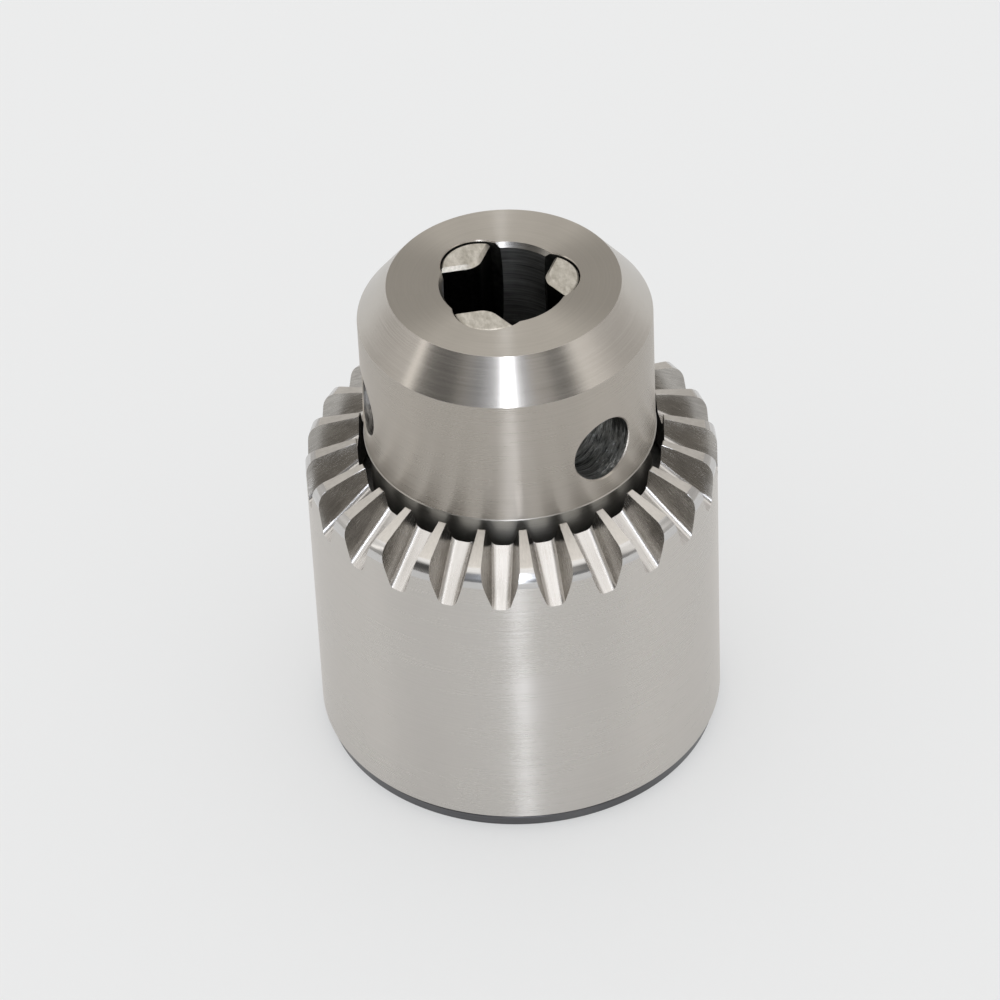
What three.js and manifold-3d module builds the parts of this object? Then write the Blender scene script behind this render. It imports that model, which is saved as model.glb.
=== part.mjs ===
// Keyed three-jaw drill chuck, 1 to 10 mm, as an assembly of separate pieces.
// Millimetres, +Z up. The chuck stands on its rear face: origin at the centre
// of that face, +Z along the chuck's axis towards the nose.

import * as THREE from 'three';
import { mergeVertices } from 'three/addons/utils/BufferGeometryUtils.js';
import Module from 'manifold-3d';

const wasm = await Module();
wasm.setup();

// ---------------------------------------------------------------- dimensions
const DEG = Math.PI / 180;

// overall
const LENGTH = 56.5;          // rear face to nose face
const SLEEVE_R = 21.5;

// nose
const NOSE_R = 15.15;
const NOSE_FACE_R = 12.0;
const NOSE_CHAMFER_Z = 52.4;  // where the long chamfer starts
const NOSE_BOTTOM_Z = 37.5;   // lower edge of the nose cylinder
const NECK_R = 14.6;
const BORE_R = 6.7;           // tool bore
const BORE_BOTTOM_Z = 24.0;
const LINK_R = 3.2;           // hole between the tool bore and the socket

// rear
const FLANGE_R = 21.2;
const FLANGE_Z = 1.36;
const BARREL_R = 18.6;
const SHOULDER_Z = 21.2;      // thrust shoulder behind the nut
const GROOVE_R = 12.5;        // root of the nut groove
const GROOVE_TOP_Z = 30.4;
const SOCKET_R = 6.03;        // short taper 1:20, diameter 12.065 at its mouth
const SOCKET_END_R = 5.57;
const SOCKET_DEPTH = 18.5;

// key pilot holes, half way between the jaws
const KEY_R = 3.6;
const KEY_Z = 43.56;
const KEY_BOTTOM_R = 8.1;
const KEY_ANGLES = [60, 180, 300];

// jaws: cylinders inclined to the axis, meeting in front of the nose
const JAW_ANGLES = [0, 120, 240];
const JAW_TILT = 13 * DEG;
const JAW_R = 3.65;
const JAW_BORE_R = 3.95;
const JAW_OFFSET = 3.8;       // jaw axis from the chuck axis at the nose face
const JAW_TIP_Z = 56.35;
const JAW_LENGTH = 47.9;
const JAW_BORE_LENGTH = 51.5;
const GRIP_R = 4.39;          // gripping land from the chuck axis, as built
const GRIP_W = 1.1;           // width of the land
const GRIP_SLOPE = Math.tan(30 * DEG); // side flats, 120 degrees included

// thread between the nut and the jaws
const PITCH = 1.814;          // along the jaw, 14 threads per inch
const THREAD_T0 = 34.5;       // thread centre at 0 degrees, along the jaw line
const THREAD_CREST_H = 3.12;  // from the jaw axis
const THREAD_CREST_W = 0.2;
const THREAD_FLANK = Math.tan(30 * DEG);
const RACK_ROOT_H = 2.6;
const RACK_TOP_W = 1.52;      // width of a rack groove at the jaw's surface
const RACK_START_T = 23.3;

// sleeve
const SLEEVE_BOTTOM_Z = 1.66;
const SLEEVE_BORE_R = 19.3;
const SLEEVE_STEP_Z = 30.2;
const SLEEVE_FRONT_R = 16.0;
const TEETH = 24;
const TOOTH_PHASE = 1.4;      // degrees from +X to the middle of a tooth gap
const CREST_IN_Z = 37.05;     // the cone of the tooth crests, at SLEEVE_FRONT_R and SLEEVE_R
const CREST_OUT_Z = 35.19;
const CREST_ROUND = 2.0;      // rounds the crests off into the sleeve's side
const FLOOR_IN_Z = 34.94;     // tooth gap floors, at the same radii
const FLOOR_OUT_Z = 30.98;
const FLOOR_HALF_IN = 0.85;   // half width of a gap's floor
const FLOOR_HALF_OUT = 0.68;
const GAP_FLANK = 0.33;       // sideways lean of a gap's flanks, per unit of height

// nut
const NUT_R = 19.0;
const NUT_BOTTOM_Z = 25.1;
const NUT_TOP_Z = 29.9;
const NUT_ROOT_H = 3.95;
const NUT_SPLIT = 0.4;
const NUT_SPLIT_ANGLE = 60;

// thrust bearing
const BALL_COUNT = 18;
const BALL_R = 1.0;
const BALL_CIRCLE_R = 17.3;
const BALL_Z = 23.8;
const RACE_IN_R = 16.0;
const RACE_OUT_R = 18.9;
const RACE_Z = [21.5, 22.5];
const CAGE_IN_R = 15.6;
const CAGE_OUT_R = 19.0;
const CAGE_Z = [23.3, 24.3];
const CAGE_HOLE_R = 1.3;

// ------------------------------------------------------------------- helpers
function closed(geometry) {
  const g = geometry.clone();
  g.deleteAttribute('normal');
  g.deleteAttribute('uv');
  const merged = mergeVertices(g, 1e-4);
  // drop the triangles that merging made degenerate, and face the rest outward
  const index = [];
  const src = merged.index.array;
  for (let i = 0; i < src.length; i += 3) {
    const [a, b, c] = [src[i], src[i + 1], src[i + 2]];
    if (a !== b && b !== c && c !== a) index.push(a, b, c);
  }
  const p = merged.attributes.position.array;
  let volume = 0;
  for (let i = 0; i < index.length; i += 3) {
    const [a, b, c] = [index[i] * 3, index[i + 1] * 3, index[i + 2] * 3];
    volume += p[a] * (p[b + 1] * p[c + 2] - p[b + 2] * p[c + 1])
      - p[a + 1] * (p[b] * p[c + 2] - p[b + 2] * p[c])
      + p[a + 2] * (p[b] * p[c + 1] - p[b + 1] * p[c]);
  }
  if (volume < 0) {
    for (let i = 0; i < index.length; i += 3) {
      const t = index[i + 1];
      index[i + 1] = index[i + 2];
      index[i + 2] = t;
    }
  }
  merged.setIndex(index);
  return merged;
}

function solid(geometry) {
  const g = closed(geometry);
  return new wasm.Manifold(new wasm.Mesh({
    numProp: 3,
    vertProperties: new Float32Array(g.attributes.position.array),
    triVerts: new Uint32Array(g.index.array),
  }));
}

function geometryOf(manifold) {
  const m = manifold.getMesh();
  const g = new THREE.BufferGeometry();
  const n = m.numProp;
  const count = m.vertProperties.length / n;
  const pos = new Float32Array(count * 3);
  for (let i = 0; i < count; i++) {
    for (let k = 0; k < 3; k++) pos[3 * i + k] = m.vertProperties[n * i + k];
  }
  g.setAttribute('position', new THREE.BufferAttribute(pos, 3));
  g.setIndex(Array.from(m.triVerts));
  return g;
}

// a solid of revolution about Z from [radius, z] points
function turned(points, segments) {
  const g = new THREE.LatheGeometry(points.map(([r, z]) => new THREE.Vector2(r, z)), segments);
  g.rotateX(Math.PI / 2);
  return g;
}

// a cylinder from one point to another
function rod(from, to, radius, segments) {
  const a = new THREE.Vector3(...from);
  const b = new THREE.Vector3(...to);
  const g = new THREE.CylinderGeometry(radius, radius, a.distanceTo(b), segments);
  const turn = new THREE.Quaternion().setFromUnitVectors(
    new THREE.Vector3(0, 1, 0), b.clone().sub(a).normalize());
  g.applyQuaternion(turn);
  const mid = a.add(b).multiplyScalar(0.5);
  g.translate(mid.x, mid.y, mid.z);
  return g;
}

// an extrusion of an outline in the XZ plane, from -half to +half along Y
function slabXZ(outline, half) {
  const shape = new THREE.Shape(outline.map(([x, z]) => new THREE.Vector2(x, z)));
  const g = new THREE.ExtrudeGeometry(shape, { depth: 2 * half, bevelEnabled: false });
  g.rotateX(Math.PI / 2);
  g.translate(0, half, 0);
  return g;
}

// an extrusion of an outline in the XY plane, from z0 to z1
function slabXY(outline, z0, z1) {
  const shape = new THREE.Shape(outline.map(([x, y]) => new THREE.Vector2(x, y)));
  const g = new THREE.ExtrudeGeometry(shape, { depth: z1 - z0, bevelEnabled: false });
  g.translate(0, 0, z0);
  return g;
}

// the jaw line's own coordinates, for a jaw at 0 degrees: t runs back along
// the jaw from the nose face, h is outward from the jaw's axis
function onJaw(t, h) {
  return [
    JAW_OFFSET + t * Math.sin(JAW_TILT) + h * Math.cos(JAW_TILT),
    LENGTH - t * Math.cos(JAW_TILT) + h * Math.sin(JAW_TILT),
  ];
}

function around(x, z, degrees) {
  const a = degrees * DEG;
  return [x * Math.cos(a), x * Math.sin(a), z];
}

// ----------------------------------------------------------------- materials
const steel = (color, roughness) =>
  new THREE.MeshStandardMaterial({ color, roughness, metalness: 1.0 });
const bodySteel = steel(0xb4aea6, 0.32);
const sleeveSteel = steel(0xb8b3ab, 0.3);
const jawSteel = steel(0xb9b2a6, 0.38);
const nutSteel = steel(0x8f8c88, 0.4);
const bearingSteel = steel(0xc9cbcf, 0.15);
const cageBrass = steel(0xb59a5b, 0.35);

const chuck = new THREE.Group();
function place(name, geometry, material) {
  const mesh = new THREE.Mesh(geometry, material);
  mesh.name = name;
  chuck.add(mesh);
}

// ---------------------------------------------------------------------- body
{
  let body = solid(turned([
    [SOCKET_R, 0],
    [FLANGE_R - 0.3, 0],
    [FLANGE_R, 0.3],
    [FLANGE_R, FLANGE_Z],
    [BARREL_R, FLANGE_Z],
    [BARREL_R, SHOULDER_Z],
    [GROOVE_R, SHOULDER_Z],
    [GROOVE_R, GROOVE_TOP_Z],
    [NECK_R, GROOVE_TOP_Z],
    [NECK_R, NOSE_BOTTOM_Z],
    [NOSE_R, NOSE_BOTTOM_Z],
    [NOSE_R, NOSE_CHAMFER_Z],
    [NOSE_FACE_R, LENGTH],
    [BORE_R, LENGTH],
    [BORE_R, BORE_BOTTOM_Z],
    [LINK_R, BORE_BOTTOM_Z - 2],
    [LINK_R, SOCKET_DEPTH],
    [SOCKET_END_R, SOCKET_DEPTH],
    [SOCKET_R, 0],
  ], 72));
  for (const a of JAW_ANGLES) {
    const [x0, z0] = onJaw(-6, 0);
    const [x1, z1] = onJaw(JAW_BORE_LENGTH, 0);
    body = body.subtract(solid(rod(around(x0, z0, a), around(x1, z1, a), JAW_BORE_R, 32)));
  }
  for (const a of KEY_ANGLES) {
    body = body.subtract(solid(rod(around(KEY_BOTTOM_R, KEY_Z, a),
      around(NOSE_R + 3, KEY_Z, a), KEY_R, 24)));
  }
  place('chuck_body', geometryOf(body), bodySteel);
}

// -------------------------------------------------------------------- sleeve
{
  // the round from the crest cone to the side, in three flats
  const lean = Math.atan2(CREST_IN_Z - CREST_OUT_Z, SLEEVE_R - SLEEVE_FRONT_R);
  const roundTurn = Math.PI / 2 - lean;
  const roundZ = CREST_OUT_Z - CREST_ROUND * Math.tan(roundTurn / 2);
  const round = [0, 1, 2, 3].map(k => [
    SLEEVE_R - CREST_ROUND * (1 - Math.cos(roundTurn * k / 3)),
    roundZ + CREST_ROUND * Math.sin(roundTurn * k / 3),
  ]);
  let sleeve = solid(turned([
    [SLEEVE_FRONT_R, SLEEVE_STEP_Z],
    [SLEEVE_BORE_R, SLEEVE_STEP_Z],
    [SLEEVE_BORE_R, SLEEVE_BOTTOM_Z],
    [SLEEVE_R - 0.15, SLEEVE_BOTTOM_Z],
    [SLEEVE_R, SLEEVE_BOTTOM_Z + 0.15],
    ...round,
    [SLEEVE_FRONT_R, CREST_IN_Z],
    [SLEEVE_FRONT_R, SLEEVE_STEP_Z],
  ], 96));
  const span = SLEEVE_R - SLEEVE_FRONT_R;
  const at = (a, b, u) => a + (b - a) * (u - SLEEVE_FRONT_R) / span;
  // one tooth gap: a tapered block with eight corners
  const stations = [SLEEVE_FRONT_R - 0.8, SLEEVE_R + 0.8];
  const corners = [];
  for (const u of stations) {
    const floor = at(FLOOR_IN_Z, FLOOR_OUT_Z, u);
    const crest = at(CREST_IN_Z, CREST_OUT_Z, u);
    const half = at(FLOOR_HALF_IN, FLOOR_HALF_OUT, u);
    const top = half + GAP_FLANK * (crest + 1.2 - floor);
    corners.push([u, -half, floor], [u, half, floor],
      [u, top, crest + 1.2], [u, -top, crest + 1.2]);
  }
  const block = new THREE.BufferGeometry();
  block.setAttribute('position', new THREE.Float32BufferAttribute(corners.flat(), 3));
  block.setIndex([
    0, 2, 1, 0, 3, 2, 4, 5, 6, 4, 6, 7,
    0, 1, 5, 0, 5, 4, 2, 3, 7, 2, 7, 6,
    1, 2, 6, 1, 6, 5, 3, 0, 4, 3, 4, 7,
  ]);
  for (let i = 0; i < TEETH; i++) {
    const g = block.clone();
    g.rotateZ((TOOTH_PHASE + 360 * i / TEETH) * DEG);
    sleeve = sleeve.subtract(solid(g));
  }
  place('sleeve', geometryOf(sleeve), sleeveSteel);
}

// ---------------------------------------------------------------------- jaws
JAW_ANGLES.forEach((angle, n) => {
  // round blank, cut off square to the chuck's axis at the tip
  const [x0, z0] = onJaw(-4, 0);
  const [x1, z1] = onJaw(JAW_LENGTH, 0);
  let jaw = solid(rod([x0, 0, z0], [x1, 0, z1], JAW_R, 24));
  jaw = jaw.subtract(solid(slabXY([[-20, -12], [20, -12], [20, 12], [-20, 12]],
    JAW_TIP_Z, JAW_TIP_Z + 20)));
  // gripping land and its two side flats, parallel to the chuck's axis
  const far = GRIP_R + (12 - GRIP_W / 2) * GRIP_SLOPE;
  jaw = jaw.subtract(solid(slabXY([[-14, -12], [far, -12], [GRIP_R, -GRIP_W / 2],
    [GRIP_R, GRIP_W / 2], [far, 12], [-14, 12]], 22, 62)));
  // rack on the outer side: the three jaws are a third of a pitch apart
  const comb = [];
  const halfTop = RACK_TOP_W / 2 + 0.1 * THREAD_FLANK;
  const halfRoot = RACK_TOP_W / 2 - (JAW_R - RACK_ROOT_H) * THREAD_FLANK;
  let t = THREAD_T0 - PITCH * angle / 360;
  while (t - PITCH - halfTop > RACK_START_T) t -= PITCH;
  const start = t;
  for (; t < JAW_LENGTH + PITCH; t += PITCH) {
    comb.push(onJaw(t - halfTop, JAW_R + 0.1), onJaw(t - halfRoot, RACK_ROOT_H),
      onJaw(t + halfRoot, RACK_ROOT_H), onJaw(t + halfTop, JAW_R + 0.1));
  }
  comb.push(onJaw(t, JAW_R + 2), onJaw(start - halfTop, JAW_R + 2));
  jaw = jaw.subtract(solid(slabXZ(comb, 5)));
  const g = geometryOf(jaw);
  g.rotateZ(angle * DEG);
  place(`jaw_${n + 1}`, g, jawSteel);
});

// ----------------------------------------------------------------------- nut
{
  // ring with a conical bore that follows the jaws' outer side
  const boreAt = (z) => {
    const t = (LENGTH + NUT_ROOT_H * Math.sin(JAW_TILT) - z) / Math.cos(JAW_TILT);
    return onJaw(t, NUT_ROOT_H)[0];
  };
  let nut = solid(turned([
    [boreAt(NUT_BOTTOM_Z), NUT_BOTTOM_Z],
    [NUT_R, NUT_BOTTOM_Z],
    [NUT_R, NUT_TOP_Z],
    [boreAt(NUT_TOP_Z), NUT_TOP_Z],
    [boreAt(NUT_BOTTOM_Z), NUT_BOTTOM_Z],
  ], 36));
  // the right-hand thread ridge, swept round the cone
  const perTurn = 36;
  const turns = 4.3;
  const steps = Math.round(turns * perTurn);
  const positions = [];
  const index = [];
  const section = [];
  const base = NUT_ROOT_H + 0.25;
  const baseHalf = THREAD_CREST_W / 2 + (base - THREAD_CREST_H) * THREAD_FLANK;
  section.push([-baseHalf, base], [-THREAD_CREST_W / 2, THREAD_CREST_H],
    [THREAD_CREST_W / 2, THREAD_CREST_H], [baseHalf, base]);
  for (let i = 0; i <= steps; i++) {
    const degrees = 360 * i / perTurn;
    for (const [dt, h] of section) {
      const [x, z] = onJaw(THREAD_T0 - PITCH * degrees / 360 + dt, h);
      positions.push(...around(x, z, degrees));
    }
  }
  for (let i = 0; i < steps; i++) {
    for (let k = 0; k < 4; k++) {
      const a = 4 * i + k;
      const b = 4 * i + (k + 1) % 4;
      index.push(a, b, b + 4, a, b + 4, a + 4);
    }
  }
  const last = 4 * steps;
  index.push(0, 2, 1, 0, 3, 2, last, last + 1, last + 2, last, last + 2, last + 3);
  const ridge = new THREE.BufferGeometry();
  ridge.setAttribute('position', new THREE.Float32BufferAttribute(positions, 3));
  ridge.setIndex(index);
  const envelope = solid(turned([[0, NUT_BOTTOM_Z], [NUT_R, NUT_BOTTOM_Z],
    [NUT_R, NUT_TOP_Z], [0, NUT_TOP_Z]], 36));
  nut = nut.add(solid(ridge).intersect(envelope));
  // split across a diameter, so that it goes round the one-piece body
  for (const [name, side] of [['nut_half_a', 1], ['nut_half_b', -1]]) {
    const g = slabXY([[-25, side * NUT_SPLIT / 2], [25, side * NUT_SPLIT / 2],
      [25, side * 25], [-25, side * 25]], 20, 35);
    g.rotateZ(NUT_SPLIT_ANGLE * DEG);
    place(name, geometryOf(nut.intersect(solid(g))), nutSteel);
  }
}

// ------------------------------------------------------------ thrust bearing
{
  place('thrust_race', closed(turned([
    [RACE_IN_R, RACE_Z[0]], [RACE_OUT_R, RACE_Z[0]],
    [RACE_OUT_R, RACE_Z[1]], [RACE_IN_R, RACE_Z[1]], [RACE_IN_R, RACE_Z[0]],
  ], 48)), bearingSteel);

  let cage = solid(turned([
    [CAGE_IN_R, CAGE_Z[0]], [CAGE_OUT_R, CAGE_Z[0]],
    [CAGE_OUT_R, CAGE_Z[1]], [CAGE_IN_R, CAGE_Z[1]], [CAGE_IN_R, CAGE_Z[0]],
  ], 54));
  for (let i = 0; i < BALL_COUNT; i++) {
    const a = 360 * i / BALL_COUNT;
    cage = cage.subtract(solid(rod(around(BALL_CIRCLE_R, CAGE_Z[0] - 1, a),
      around(BALL_CIRCLE_R, CAGE_Z[1] + 1, a), CAGE_HOLE_R, 10)));
    const ball = new THREE.SphereGeometry(BALL_R, 8, 6);
    ball.rotateX(Math.PI / 2);
    const [x, y] = around(BALL_CIRCLE_R, 0, a);
    ball.translate(x, y, BALL_Z);
    place(`ball_${String(i + 1).padStart(2, '0')}`, closed(ball), bearingSteel);
  }
  place('ball_cage', geometryOf(cage), cageBrass);
}

export default chuck;
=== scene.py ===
"""Looks of the keyed drill chuck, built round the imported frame. Metres, +Z up, the nose at the top."""

import math

import bmesh
import bpy
import numpy as np
from mathutils import Matrix, Vector


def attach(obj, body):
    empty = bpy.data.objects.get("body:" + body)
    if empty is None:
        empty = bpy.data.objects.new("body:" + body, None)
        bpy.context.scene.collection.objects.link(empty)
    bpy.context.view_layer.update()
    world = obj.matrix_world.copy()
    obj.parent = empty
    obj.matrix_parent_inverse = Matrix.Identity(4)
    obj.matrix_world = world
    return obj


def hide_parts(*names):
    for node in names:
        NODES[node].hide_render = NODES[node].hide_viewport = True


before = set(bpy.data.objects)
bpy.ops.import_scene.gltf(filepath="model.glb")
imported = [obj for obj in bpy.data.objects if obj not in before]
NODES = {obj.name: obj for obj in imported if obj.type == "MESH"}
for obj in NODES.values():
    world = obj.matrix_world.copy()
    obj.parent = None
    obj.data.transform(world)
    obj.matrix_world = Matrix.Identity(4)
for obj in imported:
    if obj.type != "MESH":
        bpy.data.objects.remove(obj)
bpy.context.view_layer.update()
S = 0.001
DEG = math.pi / 180
scene = bpy.context.scene
scene.view_settings.view_transform = "Standard"
scene.view_settings.look = "None"

# ------------------------------------------------------------------ camera
# The camera looks down at the chuck from in front, at 41 degrees, through a long lens.
R0 = 0.0215
TURN = -9.0 * DEG           # the chuck stands turned by this much to the camera
CAM_D, CAM_PHI, CAM_F = 26.0238 * R0, 0.7111, 5326.23
AIM_Z = 1.3 * R0


def turn(v, axis, angle):
    return Matrix.Rotation(angle, 3, axis) @ v


back = Vector((0, -CAM_D * math.cos(CAM_PHI), CAM_D * math.sin(CAM_PHI)))
fwd = -back.normalized()
right = Vector((1, 0, 0))
up = right.cross(fwd)
fwd, right = turn(fwd, up, 0.0025), turn(right, up, 0.0025)
fwd, up = turn(fwd, right, -0.0009), turn(up, right, -0.0009)
right, up = turn(right, fwd, 0.0448), turn(up, fwd, 0.0448)
spin = Matrix.Rotation(TURN, 3, "Z")
cam_data = bpy.data.cameras.new("camera")
cam = bpy.data.objects.new("camera", cam_data)
scene.collection.objects.link(cam)
rot = Matrix((right, up, -fwd)).transposed()
cam.matrix_world = Matrix.Translation(spin @ (back + Vector((0, 0, AIM_Z)))) @ (spin @ rot).to_4x4()
cam_data.sensor_width = 36
cam_data.lens = 36 * CAM_F / 1000
cam_data.clip_start, cam_data.clip_end = 0.01, 20
scene.camera = cam


# ------------------------------------------------------------- dimensions, mm
LENGTH, SLEEVE_R = 56.5, 21.5
NOSE_R, NOSE_FACE_R, NOSE_CHAMFER_Z, NOSE_BOTTOM_Z, NECK_R = 15.15, 12.0, 52.4, 37.5, 14.6
BORE_R, MOUTH_R, BORE_BOTTOM_Z, LINK_R = 6.7, 6.3, 24.0, 3.2
FLANGE_R, FLANGE_Z, BARREL_R, SHOULDER_Z, GROOVE_R, GROOVE_TOP_Z = 21.2, 1.36, 18.6, 21.2, 12.5, 30.4
SOCKET_R, SOCKET_END_R, SOCKET_DEPTH = 6.03, 5.57, 18.5
KEY_R, KEY_Z, KEY_BOTTOM_R, KEY_ANGLES = 3.6, 43.56, 8.1, (60, 180, 300)
JAW_ANGLES, TILT = (0, 120, 240), 13 * DEG
JAW_R, JAW_BORE_R, JAW_OFFSET, JAW_TIP_Z = 3.78, 3.95, 3.8, 56.35
JAW_LENGTH, JAW_BORE_LENGTH = 47.9, 51.5
GRIP_R, GRIP_W, GRIP_SLOPE = 4.39, 1.1, math.tan(30 * DEG)
PITCH, THREAD_T0, CREST_H, CREST_W, FLANK = 1.814, 34.5, 3.12, 0.2, math.tan(30 * DEG)
RACK_ROOT_H, RACK_TOP_W, RACK_START_T, CAD_JAW_R = 2.6, 1.52, 23.3, 3.65
SLEEVE_BOTTOM_Z, SLEEVE_BORE_R, SLEEVE_STEP_Z, SLEEVE_FRONT_R = 1.66, 19.3, 30.2, 16.0
TEETH, TOOTH_PHASE = 24, 1.4
CREST_IN_Z, CREST_OUT_Z, CREST_ROUND = 37.05, 35.19, 2.0
FLOOR_IN_Z, FLOOR_OUT_Z = 34.94, 30.98
GAP_FLOOR_IN, GAP_FLOOR_OUT, GAP_FLANK = 1.04, 0.85, 0.294
NUT_R, NUT_BOTTOM_Z, NUT_TOP_Z, NUT_ROOT_H, NUT_SPLIT, NUT_SPLIT_ANGLE = 19.0, 25.1, 29.9, 3.95, 0.4, 60
BALLS, BALL_R, BALL_CIRCLE_R, BALL_Z = 18, 1.0, 17.3, 23.8


# ------------------------------------------------------------------- meshes
def mesh_object(name, verts, faces):
    me = bpy.data.meshes.new(name)
    me.from_pydata([tuple(v) for v in verts], [], [tuple(f) for f in faces])
    bm = bmesh.new()
    bm.from_mesh(me)
    bmesh.ops.remove_doubles(bm, verts=bm.verts, dist=1e-9)
    if bm.calc_volume(signed=True) < 0:
        bmesh.ops.reverse_faces(bm, faces=bm.faces)
    bm.to_mesh(me)
    bm.free()
    o = bpy.data.objects.new(name, me)
    scene.collection.objects.link(o)
    return o


def profile(corners, step=15):
    """Closed [radius, z] outline from corners (r, z, fillet). Returns the points and, for each edge, the outward
    normals at its two ends."""
    n = len(corners)
    area = sum(corners[i][0] * corners[(i + 1) % n][1] - corners[(i + 1) % n][0] * corners[i][1] for i in range(n))
    if area < 0:
        corners = corners[::-1]
    pts, nrm = [], []
    for i, (r, z, f) in enumerate(corners):
        p = np.array((r, z), float)
        if not f:
            pts.append(p)
            nrm.append(None)
            continue
        a = np.array(corners[i - 1][:2], float) - p
        b = np.array(corners[(i + 1) % n][:2], float) - p
        a /= np.linalg.norm(a)
        b /= np.linalg.norm(b)
        half = math.acos(np.clip(a @ b, -1, 1)) / 2
        cut = f / math.tan(half)
        c = p + (a + b) / np.linalg.norm(a + b) * f / math.sin(half)
        p0, p1 = p + a * cut, p + b * cut
        sign = 1 if (-a[0] * b[1] + a[1] * b[0]) > 0 else -1
        a0 = math.atan2(*(p0 - c)[::-1])
        a1 = math.atan2(*(p1 - c)[::-1])
        d = (a1 - a0 + math.pi) % (2 * math.pi) - math.pi
        k = max(2, int(math.ceil(abs(d) / (step * DEG))))
        for j in range(k + 1):
            t = a0 + d * j / k
            e = np.array((math.cos(t), math.sin(t)))
            pts.append(c + f * e)
            nrm.append(e * sign)
    edges = []
    m = len(pts)
    for i in range(m):
        p, q = pts[i], pts[(i + 1) % m]
        d = q - p
        flat = np.array((d[1], -d[0])) / max(np.linalg.norm(d), 1e-12)
        n0, n1 = nrm[i], nrm[(i + 1) % m]
        arc = n0 is not None and n1 is not None and abs(n0 @ flat) < 0.99995 and abs(n1 @ flat) < 0.99995 \
            and n0 @ flat > 0.8 and n1 @ flat > 0.8
        edges.append((p, q, n0 if arc else flat, n1 if arc else flat))
    return pts, edges


def lathe(name, corners, segments, step=15):
    pts, edges = profile(corners, step)
    m = len(pts)
    verts, faces = [], []
    for i in range(segments):
        a = 2 * math.pi * i / segments
        for r, z in pts:
            verts.append((r * math.cos(a) * S, r * math.sin(a) * S, z * S))
    for i in range(segments):
        k = (i + 1) % segments
        for j in range(m):
            l = (j + 1) % m
            faces.append((i * m + j, k * m + j, k * m + l, i * m + l))
    return mesh_object(name, verts, faces), edges


def rod(name, a, b, radius, segments, ends=None):
    """A cylinder from a to b (mm)."""
    a, b = Vector(a), Vector(b)
    axis = (b - a).normalized()
    side = axis.orthogonal().normalized()
    other = axis.cross(side)
    verts = []
    for p in (a, b):
        for i in range(segments):
            t = 2 * math.pi * i / segments
            verts.append((p + (side * math.cos(t) + other * math.sin(t)) * radius) * S)
    faces = [(i, (i + 1) % segments, segments + (i + 1) % segments, segments + i) for i in range(segments)]
    faces += [tuple(range(segments))[::-1], tuple(range(segments, 2 * segments))]
    return mesh_object(name, verts, faces)


def loft(name, rings, closed=False):
    """Skin over rings of points (mm), all of the same count. closed joins the last ring to the first."""
    m = len(rings[0])
    verts = [Vector(p) * S for ring in rings for p in ring]
    faces = []
    n = len(rings)
    for i in range(n if closed else n - 1):
        a, b = i * m, ((i + 1) % n) * m
        for j in range(m):
            k = (j + 1) % m
            faces.append((a + j, a + k, b + k, b + j))
    if not closed:
        faces += [tuple(range(m))[::-1], tuple(range((n - 1) * m, n * m))]
    return mesh_object(name, verts, faces)


def chamfer_cutter(name, rim, c):
    """A ring that cuts a chamfer of size c along a closed rim. rim: [(point, normal 1, normal 2)], where the two
    normals point out of the two surfaces that meet at the rim."""
    rings = []
    for p, n1, n2 in rim:
        p, n1, n2 = Vector(p), Vector(n1), Vector(n2)
        rings.append([p - n2 * 1.6 * c + n1 * 0.6 * c, p - n1 * 1.6 * c + n2 * 0.6 * c, p + (n1 + n2) * 1.3 * c])
    return loft(name, rings, closed=True)


def boolean(obj, cutter, operation="DIFFERENCE"):
    mod = obj.modifiers.new("cut", "BOOLEAN")
    mod.operation = operation
    mod.object = cutter
    mod.solver = "MANIFOLD"
    dg = bpy.context.evaluated_depsgraph_get()
    me = bpy.data.meshes.new_from_object(obj.evaluated_get(dg))
    obj.modifiers.clear()
    old = obj.data
    obj.data = me
    bpy.data.meshes.remove(old)
    bpy.data.objects.remove(cutter)
    return obj


def join(name, objs):
    verts, faces = [], []
    for o in objs:
        base = len(verts)
        verts += [tuple(o.matrix_world @ v.co) for v in o.data.vertices]
        faces += [tuple(base + i for i in p.vertices) for p in o.data.polygons]
        bpy.data.objects.remove(o)
    me = bpy.data.meshes.new(name)
    me.from_pydata(verts, [], faces)
    o = bpy.data.objects.new(name, me)
    scene.collection.objects.link(o)
    return o


def clean(obj):
    obj.data.materials.clear()
    bm = bmesh.new()
    bm.from_mesh(obj.data)
    bmesh.ops.remove_doubles(bm, verts=bm.verts, dist=2e-7)
    bmesh.ops.dissolve_degenerate(bm, edges=bm.edges, dist=1e-7)
    bm.to_mesh(obj.data)
    bm.free()


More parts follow.
